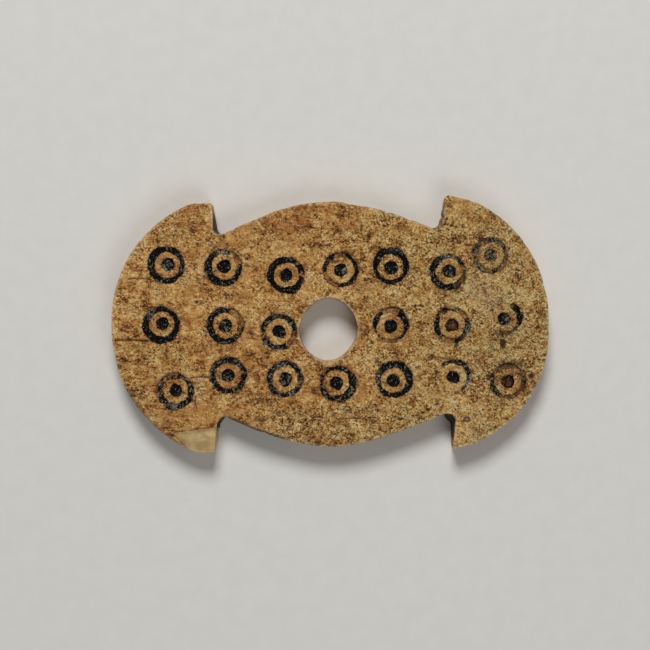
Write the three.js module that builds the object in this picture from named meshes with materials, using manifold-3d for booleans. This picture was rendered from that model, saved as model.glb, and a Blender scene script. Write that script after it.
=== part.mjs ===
import * as THREE from 'three'
import { mergeVertices } from 'three/addons/utils/BufferGeometryUtils.js'
import Module from 'manifold-3d'

// A flat bone spindle whorl, lying on its underside: a plate with two axe-like ends, a barb and a
// notch at each of its four corners, a hand-cut shaft hole and three rows of ring-and-dot cuts.
// Millimetres, +X along the plate, +Z up, origin under the middle of the plate.

// The plate
const plateLength = 62
const plateWidth = 36.6
const plateThickness = 4
const edgeWear = 0.25

// The four corners. Each is written as if it were the right upper one, and mirrored to its place.
// lobe holds the lobe's swell beside the notch, as shares of the way from the notch to the crown.
const corners = {
  rightUpper: {
    right: 1,
    up: 1,
    tipShort: 0,
    tipFlat: 4.1,
    tipRound: 0.6,
    bladeDrop: 0.85,
    bladeLength: 14.7,
    notchDepth: 4.4,
    wallSlant: 0.5,
    footCut: 0.3,
    floorDrop: 0.25,
    floorWidth: 1.1,
    wallLean: 0.3,
    footLean: 0.3,
    shoulder: 0.9,
    lobe: [[0.24, 0.34], [0.57, 0.73]],
  },
  leftUpper: {
    right: -1,
    up: 1,
    tipShort: 1.15,
    tipFlat: 3,
    tipRound: 0.4,
    bladeDrop: 0.05,
    bladeLength: 14.35,
    notchDepth: 3.9,
    wallSlant: 0.05,
    footCut: 0.45,
    floorDrop: 0.45,
    floorWidth: 0.9,
    wallLean: 0.5,
    footLean: 0.3,
    shoulder: 0.5,
    lobe: [[0.25, 0.38], [0.6, 0.84]],
  },
  leftLower: {
    right: -1,
    up: -1,
    tipShort: 0,
    tipFlat: 2.5,
    tipRound: 0.4,
    bladeDrop: 0.05,
    bladeLength: 14.7,
    notchDepth: 4.3,
    wallSlant: 0.3,
    footCut: 0.7,
    floorDrop: 0.85,
    floorWidth: 0.4,
    wallLean: 0.3,
    footLean: 0.3,
    shoulder: 0.6,
    lobe: [[0.3, 0.45], [0.63, 0.81]],
  },
  rightLower: {
    right: 1,
    up: -1,
    tipShort: 0.55,
    tipFlat: 1.5,
    tipRound: 0.4,
    bladeDrop: 0.33,
    bladeLength: 13.6,
    notchDepth: 4.3,
    wallSlant: -0.4,
    footCut: 0.4,
    floorDrop: 0.7,
    floorWidth: 1.2,
    wallLean: 0.5,
    footLean: 0.8,
    shoulder: 1.5,
    lobe: [[0.31, 0.43], [0.67, 0.84]],
  },
}

// The crowns of the two middle lobes: how far each stays inside the plate's width, and its place
const upperCrown = { short: 0.95, x: 0.7 }
const lowerCrown = { short: 0.9, x: 0 }

// The shaft hole, a hand-cut oval with its widest places toward the four sides
const holeWidth = 8.2
const holeHeight = 8.85
const holeLean = 0.08
const holeFacet = 0.08
const holeRimWear = 0.25
const holeX = -0.23
const holeY = -0.75

// The ring-and-dot cuts
const ringDiameter = 5.25
const coreDiameter = 3.6
const dotDiameter = 1.75
const ringDepth = 0.4
const dotDepth = 0.6
const columnPitch = 0.1275 * plateLength
const rowPitch = 0.22 * plateWidth
const gridX = 1
const leftHoleBridge = 0.3
const rightHoleBridge = 2.15

// Each row from left to right. x and y are how far a cut was set off its place by eye, coreX and coreY
// how far its core stands off the ring's middle, and from and to the stretch cut, in degrees.
const topRow = [
  { column: -3, x: -0.5, y: 0.3, coreX: 0.25 },
  { column: -2, x: -0.25, y: -0.05, coreX: 0.05, coreY: 0.1 },
  { column: -1, x: 0.7, y: -1.2, coreY: 0.05 },
  { column: 0, x: 0.55, y: -0.4, coreX: -0.05, coreY: -0.05 },
  { column: 1, x: -0.3, y: 0.2, coreY: -0.25 },
  { column: 2, x: -0.1, y: -0.7, coreX: 0.15, coreY: 0.1 },
  { column: 3, x: -2, y: 1.65 },
]
const middleRow = [
  { column: -3, x: -1.2, y: 0, coreX: 0.1, coreY: 0.15 },
  { column: -2, x: 0, y: -0.1, coreX: 0.05 },
  { besideHole: -1, bridge: leftHoleBridge, y: -0.95 },
  { besideHole: 1, bridge: rightHoleBridge, y: 0.05, coreX: -0.1, coreY: -0.2 },
  { column: 2, x: 0.45, y: 0 },
  { column: 3, x: -0.05, y: 0.9, from: -25, to: 65 },
]
const bottomRow = [
  { column: -3, x: 0.8, y: -1.45, coreX: 0.1, coreY: 0.05 },
  { column: -2, x: 0.4, y: 0.75 },
  { column: -1, x: 0.55, y: 0.25, coreX: 0.05 },
  { column: 0, x: 0.15, y: -0.4, coreX: -0.2, coreY: 0.1 },
  { column: 1, x: 0.2, y: 0.2, coreX: -0.15, coreY: -0.15 },
  { column: 2, x: 0.65, y: 0.6, coreX: -0.05, coreY: -0.1, from: -65, to: 135 },
  { column: 3, x: 0.45, y: -0.05 },
]
const middleRowDrop = 0.15

// The fill in the left lower tip. Its joint with the bone runs from the notch to an elbow and on to the
// outer edge, at these distances from the plate's end and inward from the tip.
const fillNotch = { fromTip: 3.7 }
const fillElbow = { fromEnd: 8.6, fromTip: 2.9 }
const fillEdge = { fromEnd: 10.7, fromTip: 0.4 }
const fillGap = 0.3

// Fineness of the round stretches
const bladeSteps = 14
const lobeSteps = 5
const holeSteps = 40
const ringSteps = 28
const dotSteps = 14

// How far the cutters run past the faces
const overrun = 1

const halfLength = plateLength / 2
const halfWidth = plateWidth / 2

// The notch, barb and blade of one corner, from the lobe to the plate's end. lean is 0 for the upper
// face and 1 for the underside, where the saw left the notch's walls standing out.
function cornerLine (corner, lean) {
  const tipY = halfWidth - corner.tipShort
  const wallX = halfLength - corner.bladeLength
  const footX = wallX - corner.wallSlant
  const footY = tipY - corner.notchDepth
  const floorX = footX - corner.footCut
  const floorY = footY - corner.floorDrop
  const round = corner.tipRound
  const softened = round * (1 - Math.SQRT1_2)
  const bladeX = wallX + corner.tipFlat
  const bladeY = tipY - corner.bladeDrop
  const points = [
    new THREE.Vector2(floorX - corner.floorWidth, floorY),
    new THREE.Vector2(floorX - lean * corner.footLean, floorY + lean * corner.footLean),
    new THREE.Vector2(footX - lean * corner.wallLean, footY + lean * corner.footLean),
    new THREE.Vector2(wallX, tipY - round),
    new THREE.Vector2(wallX + softened, tipY - softened),
    new THREE.Vector2(wallX + round, tipY),
  ]
  const across = halfLength - bladeX
  const along = bladeY - corner.shoulder
  const radius = (across ** 2 + along ** 2) / (2 * across)
  const start = Math.atan2(along, radius - across)
  const blade = new THREE.EllipseCurve(halfLength - radius, corner.shoulder, radius, radius, start, 0, true)
  return [...points, ...blade.getPoints(bladeSteps)]
    .map((point) => new THREE.Vector2(point.x * corner.right, point.y * corner.up))
}

// The swell of one middle lobe between two notches, without its two end points
function lobeLine (from, to, crown, ending, starting) {
  const share = (end, [x, y]) => new THREE.Vector2(
    end.x + (crown.x - end.x) * x,
    end.y + (crown.y - end.y) * y,
  )
  const swell = new THREE.SplineCurve([
    from,
    ...ending.lobe.map((place) => share(from, place)),
    crown,
    ...starting.lobe.map((place) => share(to, place)).reverse(),
    to,
  ])
  return swell.getPoints(lobeSteps * (swell.points.length - 1)).slice(1, -1)
}

// The whole outline, anticlockwise seen from above, starting at the right upper notch
function outline (lean) {
  const { rightUpper, leftUpper, leftLower, rightLower } = corners
  const topRight = cornerLine(rightUpper, lean)
  const topLeft = cornerLine(leftUpper, lean)
  const bottomLeft = cornerLine(leftLower, lean)
  const bottomRight = cornerLine(rightLower, lean)
  const upper = new THREE.Vector2(upperCrown.x, halfWidth - upperCrown.short)
  const lower = new THREE.Vector2(lowerCrown.x, lowerCrown.short - halfWidth)
  return [
    ...topRight,
    ...bottomRight.toReversed(),
    ...lobeLine(bottomRight[0], bottomLeft[0], lower, rightLower, leftLower),
    ...bottomLeft,
    ...topLeft.toReversed(),
    ...lobeLine(topLeft[0], topRight[0], upper, leftUpper, rightUpper),
  ].reverse()
}

// A loop moved inward by a depth, its corners kept sharp
function inset (loop, depth) {
  return loop.map((point, index) => {
    const arriving = point.clone().sub(loop.at(index - 1)).normalize()
    const leaving = loop[(index + 1) % loop.length].clone().sub(point).normalize()
    const inward = new THREE.Vector2(-arriving.y - leaving.y, arriving.x + leaving.x).normalize()
    const facing = inward.x * -leaving.y + inward.y * leaving.x
    return point.clone().addScaledVector(inward, depth / facing)
  })
}

// A closed skin over level rings with equal numbers of points, lowest first, with flat ends
function skin (rings) {
  const count = rings[0].loop.length
  const positions = rings.flatMap(({ z, loop }) => loop.flatMap((point) => [point.x, point.y, z]))
  const indices = []
  for (let level = 0; level < rings.length - 1; level++) {
    for (let index = 0; index < count; index++) {
      const near = level * count + index
      const far = level * count + (index + 1) % count
      indices.push(near, far, far + count, near, far + count, near + count)
    }
  }
  const last = (rings.length - 1) * count
  for (const [a, b, c] of THREE.ShapeUtils.triangulateShape(rings[0].loop, [])) {
    indices.push(c, b, a)
  }
  for (const [a, b, c] of THREE.ShapeUtils.triangulateShape(rings.at(-1).loop, [])) {
    indices.push(last + a, last + b, last + c)
  }
  const geometry = new THREE.BufferGeometry()
  geometry.setAttribute('position', new THREE.Float32BufferAttribute(positions, 3))
  geometry.setIndex(indices)
  return geometry
}

const wasm = await Module()
wasm.setup()

// A three.js geometry as a solid that can be joined and cut
function solid (geometry) {
  const bare = geometry.clone()
  bare.deleteAttribute('normal')
  bare.deleteAttribute('uv')
  const merged = mergeVertices(bare)
  return new wasm.Manifold(new wasm.Mesh({
    numProp: 3,
    vertProperties: new Float32Array(merged.attributes.position.array),
    triVerts: new Uint32Array(merged.index.array),
  }))
}

// A finished solid as a named three.js mesh
function pieceOf (shape, name, material) {
  const { vertProperties, triVerts } = shape.getMesh()
  const geometry = new THREE.BufferGeometry()
  geometry.setAttribute('position', new THREE.Float32BufferAttribute(vertProperties, 3))
  geometry.setIndex(new THREE.Uint32BufferAttribute(triVerts, 1))
  geometry.computeVertexNormals()
  const mesh = new THREE.Mesh(geometry, material)
  mesh.name = name
  return mesh
}

function blank () {
  const upper = outline(0)
  const under = outline(1)
  return solid(skin([
    { z: 0, loop: inset(under, edgeWear) },
    { z: edgeWear, loop: under },
    { z: plateThickness - edgeWear, loop: upper },
    { z: plateThickness, loop: inset(upper, edgeWear) },
  ]))
}

// The hole's outline, wider by grow: an oval that leans, cut in four flattened sweeps
function holeLoop (grow) {
  return Array.from({ length: holeSteps }, (_, index) => {
    const angle = 2 * Math.PI * index / holeSteps
    const radius = (holeWidth + holeHeight) / 4 + grow
      - (holeHeight - holeWidth) / 4 * Math.cos(2 * angle)
      + holeLean * Math.sin(2 * angle)
      - holeFacet * (1 - Math.cos(4 * angle))
    return new THREE.Vector2(holeX + radius * Math.cos(angle), holeY + radius * Math.sin(angle))
  })
}

// The hole's cutter, flared at both faces by the wear of its rims
function shaftHole () {
  return solid(skin([
    { z: -overrun, loop: holeLoop(holeRimWear + overrun) },
    { z: holeRimWear, loop: holeLoop(0) },
    { z: plateThickness - holeRimWear, loop: holeLoop(0) },
    { z: plateThickness + overrun, loop: holeLoop(holeRimWear + overrun) },
  ]))
}

// The groove between the ring's outer edge and its core, or a stretch of it
function ringCutter ({ coreX = 0, coreY = 0, from, to }) {
  const outer = ringDiameter / 2
  const core = coreDiameter / 2
  const shape = new THREE.Shape()
  if (from === undefined) {
    shape.absarc(0, 0, outer, 0, 2 * Math.PI)
    const island = new THREE.Path()
    island.absarc(coreX, coreY, core, 0, 2 * Math.PI)
    shape.holes.push(island)
  } else {
    const start = THREE.MathUtils.degToRad(from)
    const end = THREE.MathUtils.degToRad(to)
    shape.absarc(0, 0, outer, start, end)
    shape.absarc(coreX, coreY, core, end, start, true)
  }
  const groove = new THREE.ExtrudeGeometry(shape, {
    depth: ringDepth + overrun,
    bevelEnabled: false,
    curveSegments: ringSteps / 2,
  })
  groove.translate(0, 0, plateThickness - ringDepth)
  return groove
}

// The pit left by the bit's point, a blunt cone
function dotCutter ({ coreX = 0, coreY = 0 }) {
  const radius = dotDiameter / 2
  const pit = new THREE.LatheGeometry([
    new THREE.Vector2(0, -dotDepth),
    new THREE.Vector2(radius / 2, -0.8 * dotDepth),
    new THREE.Vector2(radius, 0),
    new THREE.Vector2(radius, overrun),
    new THREE.Vector2(0, overrun),
  ], dotSteps)
  pit.rotateX(Math.PI / 2)
  pit.translate(coreX, coreY, plateThickness)
  return pit
}

function placeOf (motif, row) {
  const y = row * rowPitch - (row === 0 ? middleRowDrop : 0) + motif.y
  if (motif.besideHole === undefined) {
    return { x: gridX + motif.column * columnPitch + motif.x, y }
  }
  const reach = holeWidth / 2 + motif.bridge + ringDiameter / 2
  return { x: holeX + motif.besideHole * reach, y }
}

function ringsAndDots () {
  const cutters = []
  for (const [row, motifs] of [[1, topRow], [0, middleRow], [-1, bottomRow]]) {
    for (const motif of motifs) {
      const { x, y } = placeOf(motif, row)
      for (const cutter of [ringCutter(motif), dotCutter(motif)]) {
        cutters.push(solid(cutter.translate(x, y, 0)))
      }
    }
  }
  return wasm.Manifold.union(cutters)
}

// A prism over the fill's corner of the plate, its joint set back by a gap
function fillPrism (gap) {
  const { leftLower } = corners
  const wallX = halfLength - leftLower.bladeLength - leftLower.wallSlant
  const tipY = halfWidth - leftLower.tipShort
  const joint = [
    new THREE.Vector2(overrun - wallX, gap - tipY + fillNotch.fromTip),
    new THREE.Vector2(fillElbow.fromEnd - halfLength - gap, gap - tipY + fillElbow.fromTip),
    new THREE.Vector2(fillEdge.fromEnd - halfLength - gap, fillEdge.fromTip - tipY),
    new THREE.Vector2(fillEdge.fromEnd - halfLength - gap, -tipY - overrun),
    new THREE.Vector2(overrun - wallX, -tipY - overrun),
  ]
  const prism = new THREE.ExtrudeGeometry(new THREE.Shape(joint), {
    depth: plateThickness + 2 * overrun,
    bevelEnabled: false,
  })
  return solid(prism.translate(0, 0, -overrun))
}

const bone = new THREE.MeshStandardMaterial({ color: '#b0905f', roughness: 0.7, metalness: 0 })
const fill = new THREE.MeshStandardMaterial({ color: '#cdbb90', roughness: 0.5, metalness: 0 })

const plate = blank()
const whorlPlate = plate.subtract(fillPrism(fillGap)).subtract(shaftHole()).subtract(ringsAndDots())
const tipFill = plate.intersect(fillPrism(0))

const whorl = new THREE.Group()
whorl.add(pieceOf(whorlPlate, 'whorl_plate', bone))
whorl.add(pieceOf(tipFill, 'tip_fill', fill))

export default whorl
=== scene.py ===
import math

import bpy
import numpy as np
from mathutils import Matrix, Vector, noise
from mathutils.geometry import delaunay_2d_cdt


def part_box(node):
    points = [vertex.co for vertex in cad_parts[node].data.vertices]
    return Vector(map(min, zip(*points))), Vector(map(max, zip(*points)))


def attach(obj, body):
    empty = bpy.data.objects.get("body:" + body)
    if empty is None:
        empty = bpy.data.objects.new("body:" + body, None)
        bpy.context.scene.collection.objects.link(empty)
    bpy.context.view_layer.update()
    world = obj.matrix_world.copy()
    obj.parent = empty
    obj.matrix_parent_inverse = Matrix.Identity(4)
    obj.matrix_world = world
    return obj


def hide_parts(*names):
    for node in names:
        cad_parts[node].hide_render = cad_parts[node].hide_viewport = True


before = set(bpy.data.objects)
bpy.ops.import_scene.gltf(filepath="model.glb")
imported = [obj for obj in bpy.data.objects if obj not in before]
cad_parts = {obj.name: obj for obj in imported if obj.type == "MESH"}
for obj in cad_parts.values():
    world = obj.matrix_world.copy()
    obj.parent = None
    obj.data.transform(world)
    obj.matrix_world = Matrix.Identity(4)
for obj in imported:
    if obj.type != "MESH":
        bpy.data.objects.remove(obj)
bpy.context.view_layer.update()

# A flat bone spindle whorl with a repaired tip. Sizes are in millimetres until a mesh is made.
metre = 1000
nodeBoxes = [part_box(node) for node in ("whorl_plate", "tip_fill")]
lowCorner = np.min([low for low, high in nodeBoxes], axis=0) * metre
highCorner = np.max([high for low, high in nodeBoxes], axis=0) * metre

# The plate, as the frame holds it
plate = {
    "length": highCorner[0] - lowCorner[0],
    "width": highCorner[1] - lowCorner[1],
    "thickness": highCorner[2] - lowCorner[2],
    "rimStep": 0.2,        # spacing of the points along the edges
    "topStep": 0.215,      # spacing of the points on the ornamented face
    "baseStep": 0.42,      # and on the underside
    "bevel": 0.24, "bevelRange": (0.12, 0.4),      # mean rounding of the edges, and its least and most
    "baseBevel": 0.2, "notchThinning": 0.55,       # underneath, and how much less in the notches
    "bevelShares": (0.16, 0.5, 1.0),               # steps across a bevel
    "wallRows": 9, "wallRough": 0.03,
    "tipPoints": 7, "bladePoints": 70, "lobePoints": 30,
    "upperCrown": (0.7, 0.95),     # place along the plate, and how far it stays inside the width
    "lowerCrown": (0.0, 0.9),
}

# The four corners, each written as if it were the right upper one
# a corner's dirt sets how dark its notch's sawn wall is painted, dirt and painted shade together
corners = {
    "rightUpper": {
        "right": 1, "up": 1, "tipShort": 0, "tipFlat": 4.1, "tipRound": 0.6, "bladeDrop": 0.85,
        "bladeLength": 14.7, "notchDepth": 4.4, "wallSlant": 0.5, "footCut": 0.3, "floorDrop": 0.25,
        "floorWidth": 1.1, "wallLean": 0.3, "footLean": 0.3, "shoulder": 0.9, "dirt": 0.35,
        "lobe": ((0.24, 0.34), (0.57, 0.73)),
    },
    "leftUpper": {
        "right": -1, "up": 1, "tipShort": 1.15, "tipFlat": 3, "tipRound": 0.4, "bladeDrop": 0.05,
        "bladeLength": 14.35, "notchDepth": 3.9, "wallSlant": 0.05, "footCut": 0.45, "floorDrop": 0.45,
        "floorWidth": 0.9, "wallLean": 0.5, "footLean": 0.3, "shoulder": 0.5,
        "lobe": ((0.25, 0.38), (0.6, 0.84)),
    },
    "leftLower": {
        "right": -1, "up": -1, "tipShort": 0, "tipFlat": 2.5, "tipRound": 0.4, "bladeDrop": 0.05,
        "bladeLength": 14.7, "notchDepth": 4.3, "wallSlant": 0.3, "footCut": 0.7, "floorDrop": 0.85,
        "floorWidth": 0.4, "wallLean": 0.3, "footLean": 0.3, "shoulder": 0.6,
        "lobe": ((0.3, 0.45), (0.63, 0.81)),
    },
    "rightLower": {
        "right": 1, "up": -1, "tipShort": 0.55, "tipFlat": 1.5, "tipRound": 0.4, "bladeDrop": 0.33,
        "bladeLength": 13.6, "notchDepth": 4.3, "wallSlant": -0.4, "footCut": 0.4, "floorDrop": 0.7,
        "floorWidth": 1.2, "wallLean": 0.5, "footLean": 0.8, "shoulder": 1.5, "dirt": 1.25,
        "lobe": ((0.31, 0.43), (0.67, 0.84)),
    },
}


def smoothStep(value, low, high):
    share = np.clip((value - low) / (high - low), 0, 1)
    return share * share * (3 - 2 * share)


def fade(value, low, high):
    return 1 - smoothStep(value, low, high)


def lengths(vectors):
    return np.linalg.norm(vectors, axis=1)


def waver(points, size, seed, octaves=3):
    # soft noise from about -1 to 1 over points in the plane, size millimetres to a swell
    spots = np.asarray(points) / size
    return np.array([noise.fractal(Vector((x + seed, y - seed, seed)), 1.0, 2.1, octaves)
                     for x, y in spots])


def cornerLine(corner, lean):
    # one corner from the lobe to the plate's end; lean is 0 on the upper face and 1 underneath
    tipY = plate["width"] / 2 - corner["tipShort"]
    wallX = plate["length"] / 2 - corner["bladeLength"]
    footX = wallX - corner["wallSlant"]
    footY = tipY - corner["notchDepth"]
    floorX = footX - corner["footCut"]
    floorY = footY - corner["floorDrop"]
    tipRound = corner["tipRound"]
    footLean = lean * corner["footLean"]
    line = [
        (floorX - corner["floorWidth"], floorY),
        (floorX - footLean, floorY + footLean),
        (footX - lean * corner["wallLean"], footY + footLean),
        (wallX, tipY - tipRound),
    ]
    for turn in np.linspace(math.pi, math.pi / 2, plate["tipPoints"])[1:]:
        line.append((wallX + tipRound * (1 + math.cos(turn)), tipY - tipRound * (1 - math.sin(turn))))
    across = plate["length"] / 2 - wallX - corner["tipFlat"]
    along = tipY - corner["bladeDrop"] - corner["shoulder"]
    radius = (across ** 2 + along ** 2) / (2 * across)
    for turn in np.linspace(math.atan2(along, radius - across), 0, plate["bladePoints"]):
        line.append((plate["length"] / 2 - radius + radius * math.cos(turn),
                     corner["shoulder"] + radius * math.sin(turn)))
    return np.array(line) * (corner["right"], corner["up"])


def lobeLine(start, end, crown, starting, ending):
    # the swell between two notches, a smooth curve through a few points, without its two ends
    def share(foot, place):
        return foot + (crown - foot) * place

    knots = [start, *(share(start, place) for place in starting["lobe"]), crown,
             *(share(end, place) for place in reversed(ending["lobe"])), end]
    line = []
    for index in range(len(knots) - 1):
        before, here = knots[max(index - 1, 0)], knots[index]
        after, beyond = knots[index + 1], knots[min(index + 2, len(knots) - 1)]
        leaving, arriving = (after - before) / 2, (beyond - here) / 2
        for t in np.linspace(0, 1, plate["lobePoints"], endpoint=False):
            line.append((2 * here - 2 * after + leaving + arriving) * t ** 3
                        + (3 * after - 3 * here - 2 * leaving - arriving) * t ** 2 + leaving * t + here)
    return line[1:]


def outline(lean):
    # the whole edge, anticlockwise from the right end
    half = plate["width"] / 2
    upper, lower = plate["upperCrown"], plate["lowerCrown"]
    topRight, topLeft, bottomLeft, bottomRight = (
        cornerLine(corners[name], lean) for name in ("rightUpper", "leftUpper", "leftLower", "rightLower"))
    return np.array([
        *topRight[::-1],
        *lobeLine(topRight[0], topLeft[0], np.array((upper[0], half - upper[1])),
                  corners["rightUpper"], corners["leftUpper"]),
        *topLeft,
        *bottomLeft[::-1],
        *lobeLine(bottomLeft[0], bottomRight[0], np.array((lower[0], lower[1] - half)),
                  corners["leftLower"], corners["rightLower"]),
        *bottomRight,
    ])


def evenly(top, base, step):
    # both loops walked in equal steps of the upper one, so that their points stay in pairs
    closed, closedBase = np.vstack([top, top[:1]]), np.vstack([base, base[:1]])
    travelled = np.concatenate([[0], np.cumsum(lengths(np.diff(closed, axis=0)))])
    marks = np.linspace(0, travelled[-1], max(8, round(travelled[-1] / step)), endpoint=False)
    return [np.column_stack([np.interp(marks, travelled, loop[:, axis]) for axis in (0, 1)])
            for loop in (closed, closedBase)]


def inwardOf(loop):
    # unit vectors into the bone at each point of an anticlockwise loop
    along = np.roll(loop, -2, axis=0) - np.roll(loop, 2, axis=0)
    inward = np.column_stack([-along[:, 1], along[:, 0]])
    return inward / np.linalg.norm(inward, axis=1, keepdims=True)


def easedBevel(loop, bevel):
    # narrower where the edge turns a sharp corner, so that the rounded edge never folds over
    before, after = loop - np.roll(loop, 2, axis=0), np.roll(loop, -2, axis=0) - loop
    turn = np.arctan2(before[:, 0] * after[:, 1] - before[:, 1] * after[:, 0], (before * after).sum(1))
    reach = (lengths(before) + lengths(after)) / 2
    slight, widest, growth = 0.05, 9, 0.05
    room = np.where(turn > slight, 0.45 * reach / np.maximum(turn, slight), widest)
    least = np.minimum(bevel, room)
    return np.min([np.roll(least, shift) + growth * abs(shift) for shift in range(-3, 4)], axis=0)


edgeWear = {"least": 0.02, "wave": 0.03, "nicks": 0.02}

# Bites out of the edge: place, length along the edge and depth
edgeBites = [
    (3.6, 17.2, 3.0, 0.16), (2.6, 17.3, 0.7, 0.12), (8.1, 16.0, 0.5, 0.22), (16.4, 16.4, 0.7, 0.14),
    (16.0, 15.2, 0.6, 0.26), (29.0, -9.3, 0.9, 0.2), (24.1, -14.3, 1.8, 0.16), (-30.9, -4.2, 3.0, 0.16),
    (20.2, 17.4, 0.7, 0.1), (27.2, 11.4, 0.8, 0.1), (30.6, 5.6, 1.0, 0.12), (11.2, 14.9, 0.7, 0.12),
    (-6.2, 16.5, 1.0, 0.08), (-23.4, 14.2, 0.9, 0.08), (-9.3, -15.5, 0.8, 0.1), (6.5, -16.4, 1.2, 0.08),
    (30.2, -5.8, 0.7, 0.12), (26.7, -12.3, 0.6, 0.12),
]


def wornEdge(loops):
    # the same wear on both outlines: fine waver all round, and the bites
    top, base = loops
    inward = inwardOf(top)
    depth = edgeWear["least"] + edgeWear["wave"] * waver(top, 1.1, 3.7, 4)
    depth += edgeWear["nicks"] * waver(top, 0.45, 8.1, 3)
    for x, y, length, bite in edgeBites:
        away = lengths(top - (x, y))
        depth = depth + bite * np.exp(-(away / (length / 2)) ** 2)
    depth = np.clip(depth, 0, None)[:, None]
    return top + inward * depth, base + inward * depth


# The shaft hole
hole = {"width": 8.2, "height": 8.85, "lean": 0.08, "facet": 0.08, "x": -0.23, "y": -0.75, "rimWear": 0.24,
        "knife": 0.03}


def holeLine(step):
    mean = (hole["width"] + hole["height"]) / 4
    turns = np.linspace(0, 2 * math.pi, round(2 * math.pi * mean / step), endpoint=False)
    radius = (mean - (hole["height"] - hole["width"]) / 4 * np.cos(2 * turns)
              + hole["lean"] * np.sin(2 * turns)
              - hole["facet"] * (1 - np.cos(4 * turns)))
    line = np.column_stack([hole["x"] + radius * np.cos(turns), hole["y"] + radius * np.sin(turns)])
    outward = np.column_stack([np.cos(turns), np.sin(turns)])
    knife = hole["knife"] * waver(line, 1.2, 5.3, 3)[:, None]
    return (line + outward * (knife + 0.02))[::-1]


# The fill's joint with the bone, from the notch to an elbow and on to the outer edge
fill = {
    "notchFromTip": 3.7,
    "elbowFromEnd": 8.6, "elbowFromTip": 2.9,
    "edgeFromEnd": 10.7, "edgeFromTip": 0.4,
    "gap": 0.02, "bevel": 0.08, "boneBevel": 0.1, "sunk": 0.06, "edgeRoll": 0.08, "ripple": 0.05,
}


def splitAtFill(top, base):
    # the plate's edge in two: the bone's, which runs along the joint, and the fill's
    halfLength, halfWidth = plate["length"] / 2, plate["width"] / 2
    corner = corners["leftLower"]
    wallX = halfLength - corner["bladeLength"] - corner["wallSlant"]
    notchSpot = (-wallX, fill["notchFromTip"] - halfWidth)
    edgeSpot = (fill["edgeFromEnd"] - halfLength, fill["edgeFromTip"] - halfWidth)
    elbow = np.array((fill["elbowFromEnd"] - halfLength, fill["elbowFromTip"] - halfWidth))
    atEdge = int(np.argmin(lengths(top - edgeSpot)))
    atNotch = int(np.argmin(lengths(top - notchSpot)))
    turned = -atEdge
    top, base = np.roll(top, turned, axis=0), np.roll(base, turned, axis=0)
    last = (atNotch - atEdge) % len(top)

    steps = [max(3, round(np.linalg.norm(top[end] - elbow) / plate["rimStep"])) for end in (0, last)]

    def joint(loop):
        line = []
        for begin, stop, count in ((loop[0], elbow, steps[0]), (elbow, loop[last], steps[1])):
            line += [begin + (stop - begin) * t for t in np.linspace(0, 1, count, endpoint=False)]
        return np.array(line[1:])

    def alongJoint(loop):
        line = joint(loop)
        ripple = fill["ripple"] * waver(line, 1.3, 2.2, 3)
        # the elbow is worn round
        eased = line.copy()
        for _ in range(3):
            eased[1:-1] = (eased[:-2] + eased[1:-1] + eased[2:]) / 3
        eased[1:-1, 1] += ripple[1:-1]
        return eased

    boneTop = np.vstack([top[last:], top[:1], alongJoint(top)])
    boneBase = np.vstack([base[last:], base[:1], alongJoint(base)])
    boneJoint = np.concatenate([np.zeros(len(top) - last + 1), np.ones(len(boneTop) - len(top) + last - 1)])
    fillTop = np.vstack([top[:last + 1], alongJoint(top)[::-1]])
    fillBase = np.vstack([base[:last + 1], alongJoint(base)[::-1]])
    fillJoint = np.concatenate([np.zeros(last + 1), np.ones(len(fillTop) - last - 1)])
    return (boneTop, boneBase, boneJoint), (fillTop, fillBase, fillJoint)


# The ring-and-dot cuts. x and y are how far each was set off its place by eye, coreX and coreY how far
# its core stands off the ring's middle. gone lists the stretches without paste: middle and width in
# degrees, and how bare. thin narrows the groove, ash is how grey the paste is, dust how brown, and
# blush the core's red tint.
cuts = {
    "ring": 2.625, "core": 1.8, "dot": 0.875,
    "columnPitch": 0.1275 * plate["length"], "rowPitch": 0.22 * plate["width"], "gridX": 1,
    "middleRowDrop": 0.15, "leftBridge": 0.3, "rightBridge": 2.15,
    "emptyDepth": 0.3, "filledDepth": 0.12, "dotDepth": 0.3, "wall": 0.14, "spill": 0.05,
    "circlePoints": 72, "wobble": 0.012,
    "beyond": 0.7, "furthest": 0.6,    # how far past a ring points count, and the most that inlay says
    "spanEase": 6, "goneEase": 9,      # degrees over which a cut and its paste come to an end
}
topRow = [
    {"column": -3, "x": -0.5, "y": 0.3, "coreX": 0.25, "ash": 0.3, "dotAsh": 0.5, "blush": 0.6},
    {"column": -2, "x": -0.25, "y": -0.05, "coreX": 0.05, "coreY": 0.1, "ash": 0.3,
     "gone": ((40, 55, 1.0), (105, 50, 0.5))},
    {"column": -1, "x": 0.7, "y": -1.2, "coreY": 0.05, "ash": 0.1, "blush": 0.5,
     "gone": ((5, 22, 0.7), (55, 40, 0.35))},
    {"column": 0, "x": 0.55, "y": -0.4, "coreX": -0.05, "coreY": -0.05, "thin": 0.12, "ash": 0.25,
     "dotAsh": 0.4, "gone": ((92, 46, 1.0), (222, 76, 1.0), (150, 30, 0.4))},
    {"column": 1, "x": -0.3, "y": 0.2, "coreY": -0.25, "ash": 0.1, "thin": 0.03},
    {"column": 2, "x": -0.1, "y": -0.7, "coreX": 0.15, "coreY": 0.1, "ash": 0.3, "dotAsh": 0.3, "thin": 0.05,
     "gone": ((-20, 84, 0.9), (60, 40, 0.4))},
    {"column": 3, "x": -2, "y": 1.65, "thin": 0.1, "ash": 0.75, "dust": 0.25, "dotAsh": 0.9, "dotDust": 0.4,
     "gone": ((0, 360, 0.32), (-20, 70, 0.45), (115, 30, 0.4), (-105, 50, 0.25))},
]
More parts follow.
